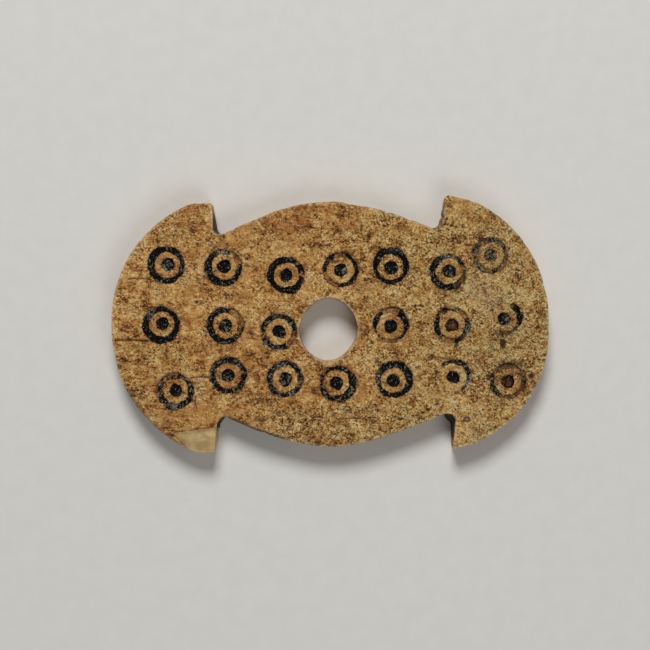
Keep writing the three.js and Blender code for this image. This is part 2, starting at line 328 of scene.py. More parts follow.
middleRow = [
    {"column": -3, "x": -1.2, "y": 0, "coreX": 0.1, "coreY": 0.15, "ash": 0.15, "blush": 0.4},
    {"column": -2, "x": 0, "y": -0.1, "coreX": 0.05, "ash": 0.3, "dotAsh": 0.4,
     "gone": ((38, 78, 0.75), (-15, 40, 0.5))},
    {"besideHole": -1, "bridge": cuts["leftBridge"], "y": -0.95, "thin": 0.07, "ash": 0.5,
     "gone": ((180, 50, 0.5), (-30, 64, 0.9), (60, 30, 0.3))},
    {"besideHole": 1, "bridge": cuts["rightBridge"], "y": 0.05, "coreX": -0.1, "coreY": -0.2, "thin": 0.09,
     "ash": 0.15, "blush": 0.7, "gone": ((92, 70, 1.0), (-88, 56, 1.0))},
    {"column": 2, "x": 0.45, "y": 0, "ash": 0.35, "dotDust": 0.6, "thin": 0.08,
     "gone": ((48, 50, 1.0), (130, 26, 0.8), (-105, 50, 1.0)), "blush": 0.7},
    {"column": 3, "x": -0.05, "y": 0.9, "ash": 0.15, "dotAsh": 0.3, "gone": ((60, 24, 0.7),),
     "from": -25, "to": 65},
]
bottomRow = [
    {"column": -3, "x": 0.8, "y": -1.45, "coreX": 0.1, "coreY": 0.05, "ash": 0.55,
     "gone": ((115, 80, 0.5), (180, 50, 0.35))},
    {"column": -2, "x": 0.4, "y": 0.75, "thin": 0.05, "ash": 0.45, "dotAsh": 0.4,
     "gone": ((-70, 40, 0.4), (165, 70, 0.3)), "blush": 0.3},
    {"column": -1, "x": 0.55, "y": 0.25, "coreX": 0.05, "thin": 0.04, "ash": 0.6, "dotAsh": 0.45,
     "gone": ((-20, 60, 0.4), (100, 70, 0.3)), "blush": 0.6},
    {"column": 0, "x": 0.15, "y": -0.4, "coreX": -0.2, "coreY": 0.1, "ash": 0.4, "gone": ((-90, 50, 0.35),)},
    {"column": 1, "x": 0.2, "y": 0.2, "coreX": -0.15, "coreY": -0.15, "ash": 0.35},
    {"column": 2, "x": 0.65, "y": 0.6, "coreX": -0.05, "coreY": -0.1, "thin": 0.15, "ash": 0.35,
     "gone": ((100, 40, 0.35),), "from": -65, "to": 135},
    {"column": 3, "x": 0.45, "y": -0.05, "ash": 0.6, "dust": 0.3, "dotDust": 0.45, "thin": 0.15,
     "gone": ((90, 124, 1.0), (-5, 90, 0.8), (-70, 70, 0.6), (-140, 110, 0.3)), "blush": 0.4},
]


def placedCuts():
    placed = []
    for row, motifs in ((1, topRow), (0, middleRow), (-1, bottomRow)):
        for motif in motifs:
            y = row * cuts["rowPitch"] - (cuts["middleRowDrop"] if row == 0 else 0) + motif["y"]
            if "besideHole" in motif:
                reach = hole["width"] / 2 + motif["bridge"] + cuts["ring"]
                x = hole["x"] + motif["besideHole"] * reach
            else:
                x = cuts["gridX"] + motif["column"] * cuts["columnPitch"] + motif["x"]
            middle = np.array((x, y))
            core = middle + (motif.get("coreX", 0), motif.get("coreY", 0))
            placed.append({**motif, "middle": middle, "coreMiddle": core, "seed": len(placed) * 1.7 + 0.4})
    return placed


allCuts = placedCuts()


def wobbleOf(motif, around):
    # how far a hand-turned circle strays from round
    return 1 + cuts["wobble"] * waver(around * 2 + motif["seed"], 1, motif["seed"], 2)


def turnFrom(turn, middle):
    return np.abs((turn - middle + 180) % 360 - 180)


def circlePoints(motif):
    # points in circles where the groove's and the pit's walls need them
    turns = np.linspace(0, 2 * math.pi, cuts["circlePoints"], endpoint=False)
    around = np.column_stack([np.cos(turns), np.sin(turns)])
    wall, wobble = cuts["wall"], wobbleOf(motif, around)
    points = []
    for middle, edge, offsets in (
            (motif["coreMiddle"], cuts["dot"], (-0.45, -0.22, -wall, -wall / 2, 0, wall / 2, 0.2, 0.42)),
            (motif["coreMiddle"], cuts["core"], (-0.18, -wall / 2, 0, wall / 2, wall)),
            (motif["middle"], cuts["ring"], (-wall, -wall / 2, 0, wall / 2, 0.22))):
        for index, offset in enumerate(offsets):
            twist = (index % 2) * math.pi / cuts["circlePoints"]
            cos, sin = math.cos(twist), math.sin(twist)
            spun = around @ np.array(((cos, sin), (-sin, cos)))
            keep = slice(None, None, 2) if edge + offset < 0.5 else slice(None)
            points.append((middle + spun * ((edge + offset) * wobble)[:, None])[keep])
    return np.vstack(points)


def spanOf(motif, turn):
    # 1 within the stretch that was cut, 0 outside it
    if "from" not in motif:
        return np.ones_like(turn)
    middle, width = (motif["from"] + motif["to"]) / 2, motif["to"] - motif["from"]
    return fade(turnFrom(turn, middle), width / 2 - cuts["spanEase"], width / 2 + cuts["spanEase"])


def cutFields(points):
    # for each point: how far inside a cut it lies, how much paste is there, and the paste's looks
    furthest = cuts["furthest"]
    inlay = np.full(len(points), -furthest)
    fields = {name: np.zeros(len(points)) for name in ("paste", "ash", "dust", "blush", "cored", "depth")}
    for motif in allCuts:
        near = lengths(points - motif["middle"]) < cuts["ring"] + cuts["beyond"]
        spot = points[near]
        off = spot - motif["middle"]
        coreOff = spot - motif["coreMiddle"]
        turn = np.degrees(np.arctan2(off[:, 1], off[:, 0]))
        around = off / np.maximum(np.linalg.norm(off, axis=1, keepdims=True), 1e-6)
        wobble = wobbleOf(motif, around)
        fromCore = lengths(coreOff) / wobble
        fromMiddle = lengths(off) / wobble
        span = spanOf(motif, turn)
        groove = np.minimum(fromCore - cuts["core"], cuts["ring"] - fromMiddle)
        groove = groove - (1 - span) * furthest - motif.get("thin", 0)
        pit = cuts["dot"] - fromCore
        present = np.ones(len(spot))
        for middle, width, bare in motif.get("gone", ()):
            ease = cuts["goneEase"]
            present = present - bare * fade(turnFrom(turn, middle), width / 2 - ease, width / 2 + ease)
        present = np.clip(present, 0, 1)
        inPit = pit > groove
        deep = np.where(
            inPit,
            smoothStep(pit, -cuts["wall"] / 2, cuts["wall"] / 2) * cuts["dotDepth"],
            smoothStep(groove, -cuts["wall"] / 2, cuts["wall"] / 2)
            * (cuts["emptyDepth"] + (cuts["filledDepth"] - cuts["emptyDepth"]) * present))
        inlay[near] = np.maximum(groove, pit + cuts["spill"])
        fields["depth"][near] = deep
        fields["paste"][near] = np.where(inPit, 1, present)
        fields["ash"][near] = np.where(inPit, motif.get("dotAsh", 0.15), motif.get("ash", 0.2))
        fields["dust"][near] = np.where(inPit, motif.get("dotDust", 0), motif.get("dust", 0))
        within = fade(fromMiddle, cuts["core"], cuts["ring"] + 0.5)
        fields["blush"][near] = motif.get("blush", 0.1) * within
        fields["cored"][near] = fade(fromCore, cuts["core"] - 0.1, cuts["core"] + 0.5)
    fields["inlay"] = np.clip(inlay, -furthest, furthest)
    return fields


# Cracks along the grain, as a few points each, with width and depth
cracks = [
    {"line": ((-28.6, 6.4), (-27.0, 6.45), (-25.2, 6.3)), "width": 0.16, "depth": 0.12},
    {"line": ((-30.5, -2.3), (-28.6, -2.25), (-25.8, -2.4)), "width": 0.22, "depth": 0.2},
    {"line": ((-19.8, -7.6), (-18.2, -7.5), (-17.0, -7.6)), "width": 0.2, "depth": 0.14},
    {"line": ((-11.8, -2.0), (-10.2, -2.15)), "width": 0.14, "depth": 0.07},
    {"line": ((-3.7, 13.8), (-2.6, 13.65), (-1.5, 13.5)), "width": 0.16, "depth": 0.07},
    {"line": ((-2.2, 11.4), (-0.6, 11.1)), "width": 0.16, "depth": 0.07},
    {"line": ((2.1, -13.4), (4.4, -13.35), (6.4, -13.2)), "width": 0.12, "depth": 0.06},
    {"line": ((-19.0, -10.2), (-19.1, -11.2), (-18.8, -12.0)), "width": 0.14, "depth": 0.05},
    {"line": ((14.2, -4.4), (17.6, -5.3), (20.6, -7.2)), "width": 0.14, "depth": 0.05},
    {"line": ((-28.8, -9.7), (-27.5, -11.7), (-25.2, -14.2), (-22.9, -16.2)), "width": 0.2, "depth": 0.05},
]

# Pits: place, radii along and across the plate, depth and how dark
pits = [
    (24.5, -2.8, 0.55, 0.95, 0.3, 1.0), (19.4, -13.5, 0.62, 0.6, 0.2, 1.0),
    (28.45, -7.4, 0.56, 0.54, 0.16, 0.8), (5.5, 12.35, 0.3, 0.36, 0.2, 1.0),
    (0.5, 14.2, 0.26, 0.26, 0.14, 0.7), (-15.05, 12.4, 0.26, 0.3, 0.18, 0.9),
    (-10.2, 11.3, 0.26, 0.26, 0.12, 0.7), (22.9, 2.0, 0.4, 0.3, 0.14, 0.8),
    (28.8, 5.8, 0.35, 0.5, 0.12, 0.6), (-18.8, 3.1, 0.3, 0.3, 0.12, 0.7),
    (6.2, -6.0, 0.26, 0.22, 0.12, 0.8), (21.6, -12.2, 0.2, 0.16, 0.1, 0.8),
    (10.0, 3.5, 0.3, 0.16, 0.08, 0.5), (-3.4, 10.1, 0.3, 0.22, 0.1, 0.5), (-0.1, 9.4, 0.3, 0.25, 0.08, 0.5),
]


def nearLine(points, line):
    # distance from each point to a run of straight stretches
    best = np.full(len(points), 99.0)
    for start, end in zip(line[:-1], line[1:]):
        start, end = np.array(start), np.array(end)
        along = end - start
        share = np.clip(((points - start) @ along) / (along @ along), 0, 1)
        best = np.minimum(best, lengths(points - start - share[:, None] * along))
    return best


def crackPoints():
    points = []
    for crack in cracks:
        for start, end in zip(crack["line"][:-1], crack["line"][1:]):
            start, end = np.array(start), np.array(end)
            along = end - start
            side = np.array((-along[1], along[0])) / np.linalg.norm(along)
            for t in np.arange(0, 1, 0.14 / np.linalg.norm(along)):
                middle = start + along * t + side * 0.05 * math.sin(9 * t)
                points += [middle + side * crack["width"] * across for across in (-0.6, 0, 0.6)]
    return np.array(points)


def pitPoints():
    points = []
    for x, y, long, high, _, _ in pits:
        for share, count in ((0.0, 1), (0.4, 8), (0.75, 14), (1.05, 18), (1.4, 18)):
            turns = np.linspace(0, 2 * math.pi, count, endpoint=False) + share
            ring = np.column_stack([long * np.cos(turns), high * np.sin(turns)])
            points.append(ring * share + (x, y))
    return np.vstack(points)


def reliefFields(points):
    crackle = np.zeros(len(points))
    sunk = np.zeros(len(points))
    hollow = np.zeros(len(points))
    for crack in cracks:
        away = nearLine(points, crack["line"]) + 0.05 * waver(points, 0.9, 6.6, 2)
        share = fade(away, 0, crack["width"])
        crackle = np.maximum(crackle, share)
        sunk = np.maximum(sunk, share * crack["depth"])
    for x, y, long, high, depth, dark in pits:
        away = np.hypot((points[:, 0] - x) / long, (points[:, 1] - y) / high)
        share = fade(away, 0.35, 1.15)
        hollow = np.maximum(hollow, share * dark)
        sunk = np.maximum(sunk, share * depth)
    # the pit at the lower right barb still holds a pale grain
    grain = np.exp(-((points[:, 0] - pits[1][0]) ** 2 + (points[:, 1] - pits[1][1]) ** 2) / 0.06)
    hollow, sunk = hollow * (1 - 0.8 * grain), sunk - 0.12 * grain
    return crackle, hollow, sunk


# Smears of paste and dirt beside the cuts: place, radii along and across the plate, turn in degrees, strength
smears = [
    (6.65, -5.25, 0.35, 0.28, 40, 0.9), (7.1, -5.7, 0.4, 0.3, -40, 0.7), (17.9, -2.95, 0.35, 0.22, 50, 0.9),
    (24.6, -1.3, 1.3, 0.45, 5, 0.75), (26.0, -0.75, 0.4, 0.9, -35, 0.6), (25.4, -5.6, 1.8, 0.45, 4, 0.7),
    (27.5, -8.3, 0.26, 1.4, -8, 0.8), (22.5, -7.5, 0.26, 0.36, 0, 1.2), (16.0, -9.5, 1.2, 0.16, -25, 0.4),
    (15.0, -7.2, 0.2, 1.2, 0, 0.6), (-13.1, 10.2, 0.7, 0.25, -40, 0.5), (-16.6, 10.5, 0.9, 0.3, 30, 0.45),
    (17.9, 5.1, 0.55, 0.28, 60, 0.8), (18.9, 6.0, 0.3, 0.7, 0, 0.5), (2.2, 10.3, 0.4, 0.22, -20, 0.7),
    (-20.3, 9.4, 0.9, 0.18, 0, 0.3), (-17.3, 9.5, 0.7, 0.2, 10, 0.4), (-23.9, -12.7, 1.3, 0.25, 10, 0.3),
    (9.2, -11.2, 1.4, 0.3, -20, 0.35), (10.9, -9.6, 0.8, 0.22, -40, 0.4), (-9.8, -13.6, 0.9, 0.35, 10, 0.7),
    (-9.6, -10.8, 1.4, 0.4, 0, 0.5), (2.5, -12.2, 0.8, 0.6, 0, 0.5), (0.9, -15.5, 0.5, 0.3, 0, 0.5),
    (-7.0, -12.5, 0.9, 0.3, -10, 0.45), (-3.0, -14.6, 0.6, 0.3, 20, 0.45), (18.1, 5.5, 0.6, 0.36, 60, 1.1),
    (19.0, 7.0, 0.3, 0.8, 0, 0.8), (18.6, 8.3, 0.5, 0.25, -40, 0.8),
]

# Places worn smooth: place, radii along and across, turn in degrees, strength
smoothSpots = [
    (-19.8, 3.5, 1.4, 5.0, 0, 0.55), (-10.5, 3.6, 2.8, 1.6, 0, 0.4), (-19.8, -13.0, 3.4, 1.1, 5, 0.9),
    (-13.0, 12.0, 2.8, 1.1, 20, 0.6), (-18.0, -4.6, 2.4, 1.2, 0, 0.35), (7.0, -13.5, 4.0, 1.2, 10, 0.4),
    (20.8, 15.8, 2.6, 1.6, -30, 0.9), (-6.0, 16.3, 2.4, 1.0, 10, 0.9), (25.0, -13.8, 2.2, 1.4, 40, 0.9),
    (-19.6, 13.2, 2.2, 1.6, 0, 0.6), (11.0, 13.4, 2.4, 1.2, -15, 0.6),
]

# Painted glints on the paste: place, radii along and across, turn in degrees, strength
pasteGlints = [
    (2.05, 7.7, 0.2, 0.24, 0, 1.0), (17.0, 7.5, 0.14, 0.4, 0, 1.0), (25.05, 0.8, 0.25, 0.35, 30, 0.5),
    (-25.3, 1.5, 0.5, 0.3, 45, 0.8), (19.3, -1.0, 0.3, 0.7, -15, 0.7), (6.9, -7.6, 0.3, 0.6, 0, 0.7),
    (19.7, -8.3, 0.3, 0.9, -20, 0.9), (16.6, 9.7, 1.0, 0.3, -10, 0.7), (-15.1, 10.2, 0.9, 0.3, 0, 0.7),
    (-23.3, 8.2, 0.4, 0.4, 0, 0.4), (13.2, 3.0, 0.4, 0.3, 0, 0.3), (9.6, 10.6, 0.8, 0.25, 0, 0.4),
]


def patchField(points, patches):
    strength = np.zeros(len(points))
    for x, y, long, high, turn, most in patches:
        spin = math.radians(turn)
        right = (points[:, 0] - x) * math.cos(spin) + (points[:, 1] - y) * math.sin(spin)
        up = (points[:, 1] - y) * math.cos(spin) - (points[:, 0] - x) * math.sin(spin)
        strength = np.maximum(strength, most * np.exp(-((right / long) ** 2 + (up / high) ** 2) / 1.8))
    return strength


# Soft patches of tone, partly stains and partly painted shade that mostly darkens the upper part of the
# plate: place, radius, how warm or grey, how dark
stainsAndShade = [
    (-5.5, 15.0, 2.8, 0.9, 0.8), (-1.0, 12.5, 2.4, 0.5, -0.1), (3.0, 15.4, 2.8, 0.5, 1.1),
    (-9.5, 12.8, 2.2, 0.6, 0.7), (-20.0, 16.2, 2.2, 0.8, 1.2), (-22.5, 13.0, 2.2, 0.3, 0.6),
    (-18.5, 11.8, 2.4, 0.2, -0.4), (19.0, 15.0, 4.0, -0.2, 0.5), (-27.0, -2.8, 2.2, 0.3, 0.8),
    (-24.0, -7.0, 2.5, 0.2, 0.4), (-22.0, -12.5, 3.0, 0.5, 0.0), (-8.0, -9.8, 2.5, 0.5, 0.0),
    (-13.0, -9.0, 3.0, 0.4, 0.3), (0.5, -12.5, 2.2, 0.2, 0.5), (7.8, 6.6, 2.0, 0.1, 1.2),
    (15.5, 11.5, 3.4, -0.1, 1.0), (9.0, 13.2, 2.6, 0.1, 0.8), (24.0, 9.0, 2.6, -0.4, 0.6),
    (23.0, 3.2, 3.0, -0.6, -1.0), (20.5, 5.0, 2.5, -0.5, -1.0), (26.5, 4.0, 2.5, -0.2, -0.6),
    (21.0, -12.5, 4.0, -0.2, -0.5), (26.0, -2.5, 3.0, -0.2, -0.3), (27.0, -8.5, 2.2, 0.3, 0.8),
    (24.0, -7.0, 2.4, 0.2, 0.7), (12.0, -3.5, 3.0, 0.3, 0.1), (17.0, 0.0, 1.6, 0.6, 0.4),
    (-17.0, 8.0, 1.6, -0.3, 0.4), (-6.0, 3.5, 2.5, 0.3, -0.2), (-25.0, 3.5, 3.0, 0.1, -0.3),
    (-28.5, 1.0, 2.0, 0.0, -0.4), (5.0, -15.0, 3.0, -0.1, -0.9), (-5.8, -14.4, 2.6, -0.1, -1.4),
    (28.0, 3.0, 2.2, 0.3, -0.1), (20.5, -14.5, 2.6, -0.4, -0.4), (24.8, -13.6, 2.4, -0.2, -1.2),
    (13.5, -10.5, 2.6, -0.1, 0.0), (9.0, 4.5, 2.4, -0.2, -0.4), (12.8, 4.0, 2.2, 0.0, -0.5),
    (-19.5, 4.7, 2.0, 0.1, -0.5), (-28.8, 3.4, 1.6, 0.2, 0.4), (-29.0, 6.8, 2.2, 0.0, -1.1),
    (-22.9, 5.6, 1.8, -0.3, -0.5), (1.5, 5.5, 2.6, 0.0, -0.2), (-12.5, 3.5, 2.6, 0.2, 0.0),
    (-19.5, 0.5, 2.4, 0.2, -0.1), (-12.5, 9.4, 2.0, 0.3, -0.9), (21.2, -0.6, 1.6, 0.0, -0.8),
]


def stainAndShadeFields(points):
    warmth = np.zeros(len(points))
    shade = np.zeros(len(points))
    for x, y, radius, warm, dark in stainsAndShade:
        share = np.exp(-((points[:, 0] - x) ** 2 + (points[:, 1] - y) ** 2) / radius ** 2)
        warmth += warm * share
        shade += dark * share
    return np.clip(warmth, -1, 1), np.clip(shade, -1, 1)


def batches(points, size=2000):
    return [slice(start, start + size) for start in range(0, len(points), size)]


def inside(points, loop):
    # even-odd test against a closed loop, in batches
    result = np.zeros(len(points), bool)
    ends = np.roll(loop, -1, axis=0)
    for batch in batches(points):
        x, y = points[batch, 0, None], points[batch, 1, None]
        crosses = (loop[:, 1] > y) != (ends[:, 1] > y)
        drop = np.where(ends[:, 1] == loop[:, 1], 1, ends[:, 1] - loop[:, 1])
        at = loop[:, 0] + (y - loop[:, 1]) * (ends[:, 0] - loop[:, 0]) / drop
        result[batch] = (np.count_nonzero(crosses & (x < at), axis=1) % 2) == 1
    return result


def clearance(points, others):
    # distance from each point to the nearest of the others
    best = np.zeros(len(points))
    for batch in batches(points):
        gaps = points[batch, None, :] - others[None, :, :]
        best[batch] = np.sqrt((gaps ** 2).sum(2)).min(1)
    return best


def honeycomb(loop, step):
    low, high = loop.min(0), loop.max(0)
    rows = np.arange(low[1], high[1], step * math.sqrt(3) / 2)
    columns = np.arange(low[0], high[0], step)
    points = np.vstack([np.column_stack([columns + (index % 2) * step / 2, np.full(len(columns), y)])
                        for index, y in enumerate(rows)])
    return points + 0.12 * step * np.column_stack([waver(points, 0.31, 1.3, 1), waver(points, 0.27, 4.1, 1)])


def capFaces(loops, inner):
    # triangles over the area inside the first loop and outside the others
    flat = np.vstack([*loops, inner])
    edges, first = [], 0
    for loop in loops:
        edges += [(first + index, first + (index + 1) % len(loop)) for index in range(len(loop))]
        first += len(loop)
    spots, _, faces, origins, _, _ = delaunay_2d_cdt([Vector(point) for point in flat], edges, [], 1, 1e-6)
    if len(spots) != len(flat):
        print("cap: points merged or added,", len(flat), "to", len(spots))
    faces = np.array(faces)
    middles = np.array(spots)[faces].mean(1)
    kept = inside(middles, loops[0])
    for loop in loops[1:]:
        kept &= ~inside(middles, loop)
    source = np.array([origin[0] if origin else -1 for origin in origins])
    for stray in np.flatnonzero(source < 0):
        source[stray] = int(np.argmin(lengths(flat - np.array(spots[stray]))))
        print("cap: edge crosses itself at", [round(value, 3) for value in spots[stray]])
    return [tuple(int(source[corner]) for corner in face) for face in faces[kept]]


def slab(name, outer, holes, topInner, baseInner):
    # a closed plate: rims are loops with an upper and a lower line and a bevel width at each point
    thick = plate["thickness"]
    heights = np.linspace(thick, 0, plate["wallRows"] + 2)[1:-1]
    points, faces, firstRows, lastRows = [], [], [], []
    total = 0
    for rim in (outer, *holes):
        top, base, bevel, baseBevel = rim["top"], rim["base"], rim["bevel"], rim["baseBevel"]
        inward, inwardBase = inwardOf(top), inwardOf(base)
        count = len(top)
        levels = []
        for share in reversed(plate["bevelShares"]):       # over the upper edge
            drop = bevel * (1 - math.sin(math.acos(1 - share)))
            lean = (drop / thick)[:, None]
            spot = top * (1 - lean) + base * lean + inward * (share * bevel)[:, None]
            levels.append(np.column_stack([spot, thick - drop]))
        for height in heights:
            lean = (thick - height) / thick
            rough = plate["wallRough"] * (1 + waver(top + height * 2.3, 0.8, 9.4, 3))
            spot = top * (1 - lean) + base * lean + inward * np.clip(rough, 0, 1)[:, None]
            levels.append(np.column_stack([spot, np.full(count, height)]))
        for share in plate["bevelShares"]:                 # under the lower edge
            height = baseBevel * (1 - math.sin(math.acos(1 - share)))
            spot = base + inwardBase * (share * baseBevel)[:, None]
            levels.append(np.column_stack([spot, height]))
        for level in range(len(levels) - 1):
            high, low = total + level * count, total + (level + 1) * count
            for index in range(count):
                beside = (index + 1) % count
                faces.append((high + index, low + index, low + beside, high + beside))
        firstRows.append(total)
        lastRows.append(total + (len(levels) - 1) * count)
        points += levels
        total += len(levels) * count
    rims = (outer, *holes)
    rowsEach = len(points) // len(rims)
    topLoops = [points[index * rowsEach][:, :2] for index in range(len(rims))]
    baseLoops = [points[(index + 1) * rowsEach - 1][:, :2] for index in range(len(rims))]
    for capLoops, inner, starts, height, upward in (
            (topLoops, topInner, firstRows, thick, True), (baseLoops, baseInner, lastRows, 0.0, False)):
        for index, loop in enumerate(capLoops):
            within = inside(inner, loop)
            inner = inner[within if index == 0 else ~within]
        inner = inner[clearance(inner, np.vstack(capLoops)) > plate["rimStep"] * 0.55]
        lookup = [start + offset for start, loop in zip(starts, capLoops) for offset in range(len(loop))]
        lookup += list(range(total, total + len(inner)))
        for face in capFaces(capLoops, inner):
            spots = [lookup[corner] for corner in face]
            faces.append(tuple(spots if upward else reversed(spots)))
        points.append(np.column_stack([inner, np.full(len(inner), height)]))
        total += len(inner)
    places = np.vstack(points)
    print(name, "points", len(places), "faces", len(faces))
    return places, faces


def spaced(points, gap):
    # drops points closer than gap to an earlier one, on a coarse grid
    keys = np.round(points / gap).astype(int)
    _, first = np.unique(keys, axis=0, return_index=True)
    return points[np.sort(first)]


def piece(name, places, faces, fields, material):
    mesh = bpy.data.meshes.new(name)
    mesh.from_pydata([tuple(place) for place in places / metre], [], faces)
    mesh.validate()
    mesh.polygons.foreach_set("use_smooth", [True] * len(mesh.polygons))
    for title, values in fields.items():
        layer = mesh.attributes.new(title, "FLOAT", "POINT")
        layer.data.foreach_set("value", np.asarray(values, np.float32))
    mesh.materials.append(material)
    mesh.update()
    made = bpy.data.objects.new(name, mesh)
    bpy.context.scene.collection.objects.link(made)
    return made


# Small helpers for shader nodes, which go into the material that freshMaterial made last
making = {}


def freshMaterial(name):
    material = bpy.data.materials.new(name)
    material.use_nodes = True
    making["tree"] = material.node_tree
    where = put("ShaderNodeTexCoord").outputs["Object"]
    return material, material.node_tree.nodes["Principled BSDF"], stretch(where, metre, metre, metre)


def feed(node, inputs):
    for key, value in inputs.items():
        if isinstance(value, bpy.types.NodeSocket):
            making["tree"].links.new(value, node.inputs[key])
        else:
            node.inputs[key].default_value = value


def put(kind, inputs=None, **settings):
    made = making["tree"].nodes.new(kind)
    for key, value in settings.items():
        setattr(made, key, value)
    feed(made, inputs or {})
    return made


def calc(how, first, second=0.0, third=0.0):
    return put("ShaderNodeMath", {0: first, 1: second, 2: third}, operation=how).outputs[0]


def times(first, second):
    return calc("MULTIPLY", first, second)


def less(first, second):
    return calc("SUBTRACT", first, second)


def weighted(value, weight, base):
    # base plus weight times a value
    return calc("MULTIPLY_ADD", value, weight, base)


def centred(value, weight, base=0.0):
    # base plus weight times how far a noise is from its middle
    return weighted(less(value, 0.5), weight, base)


def remap(value, low, high, toLow=0.0, toHigh=1.0):
    limits = {"From Min": low, "From Max": high, "To Min": toLow, "To Max": toHigh}
    made = put("ShaderNodeMapRange", {"Value": value, **limits}, interpolation_type="SMOOTHSTEP")
    return made.outputs["Result"]


def tint(share, low, high, how="MIX"):
    made = put("ShaderNodeMix", {0: share, 6: low, 7: high}, data_type="RGBA", blend_type=how)
    return made.outputs[2]


def over(colour, ink, mask, most=None):
    # ink laid over a colour where the mask is, up to a share
    return tint(mask if most is None else times(mask, most), colour, ink)


def speckle(where, scale, detail=3.0, rough=0.6, warp=0.0):
    made = put("ShaderNodeTexNoise",
               {"Vector": where, "Scale": scale, "Detail": detail, "Roughness": rough, "Distortion": warp})
    return made.outputs["Fac"]


def cells(where, scale):
    # distance to the nearest of many scattered points
    made = put("ShaderNodeTexVoronoi", {"Vector": where, "Scale": scale, "Randomness": 1.0})
    return made.outputs["Distance"]


def field(name):
    return put("ShaderNodeAttribute", attribute_name=name).outputs["Fac"]


def stretch(where, x, y, z):
    return put("ShaderNodeMapping", {"Vector": where, "Scale": (x, y, z)}).outputs["Vector"]


def relieved(height, strength, distance):
    bump = put("ShaderNodeBump", {"Strength": strength, "Distance": distance, "Height": height})
    return bump.outputs["Normal"]


def srgb(red, green, blue):
    # a colour as seen on the screen, made linear
    parts = (red, green, blue)
    return (*(((part / 255 + 0.055) / 1.055) ** 2.4 if part > 10 else part / 3295 for part in parts), 1)


# Aged bone: what a user would change
boneLook = {
    "ramp": ((0.0, srgb(60, 33, 12)), (0.22, srgb(130, 81, 32)), (0.4, srgb(172, 122, 59)),
             (0.56, srgb(192, 141, 75)), (0.75, srgb(213, 164, 93)), (0.9, srgb(228, 183, 110)),
             (1.0, srgb(240, 208, 144))),
    "amber": srgb(186, 110, 44), "rust": srgb(130, 62, 26), "red": srgb(168, 88, 48),
    "grey": srgb(186, 152, 116), "holeHighlight": srgb(176, 164, 136), "cool": srgb(243, 252, 255),
    # dirt is also the colour of the painted shade on the sawn walls and two outline stretches
    "pore": srgb(46, 26, 12), "umber": srgb(74, 40, 22), "dirt": srgb(40, 27, 20),
    "crumb": srgb(226, 186, 112), "worn": srgb(236, 208, 160), "dust": srgb(118, 78, 48),
    "paste": srgb(8, 8, 7), "ash": srgb(126, 118, 98), "glint": srgb(214, 208, 192),
    # how much each size of mottle shows, and how much more of it in the spongy places
    "mottle": 2.1, "fine": 2.6, "clumps": 1.9, "fibres": 1.4, "lively": 0.35,
    "roughness": 0.6,
}


def rampOf(value, stops):
    made = put("ShaderNodeValToRGB", {"Fac": value})
    elements = made.color_ramp.elements
    while len(elements) < len(stops):
        elements.new(0.5)
    for element, (place, colour) in zip(elements, stops):
        element.position, element.color = place, colour
    return made.outputs["Color"]


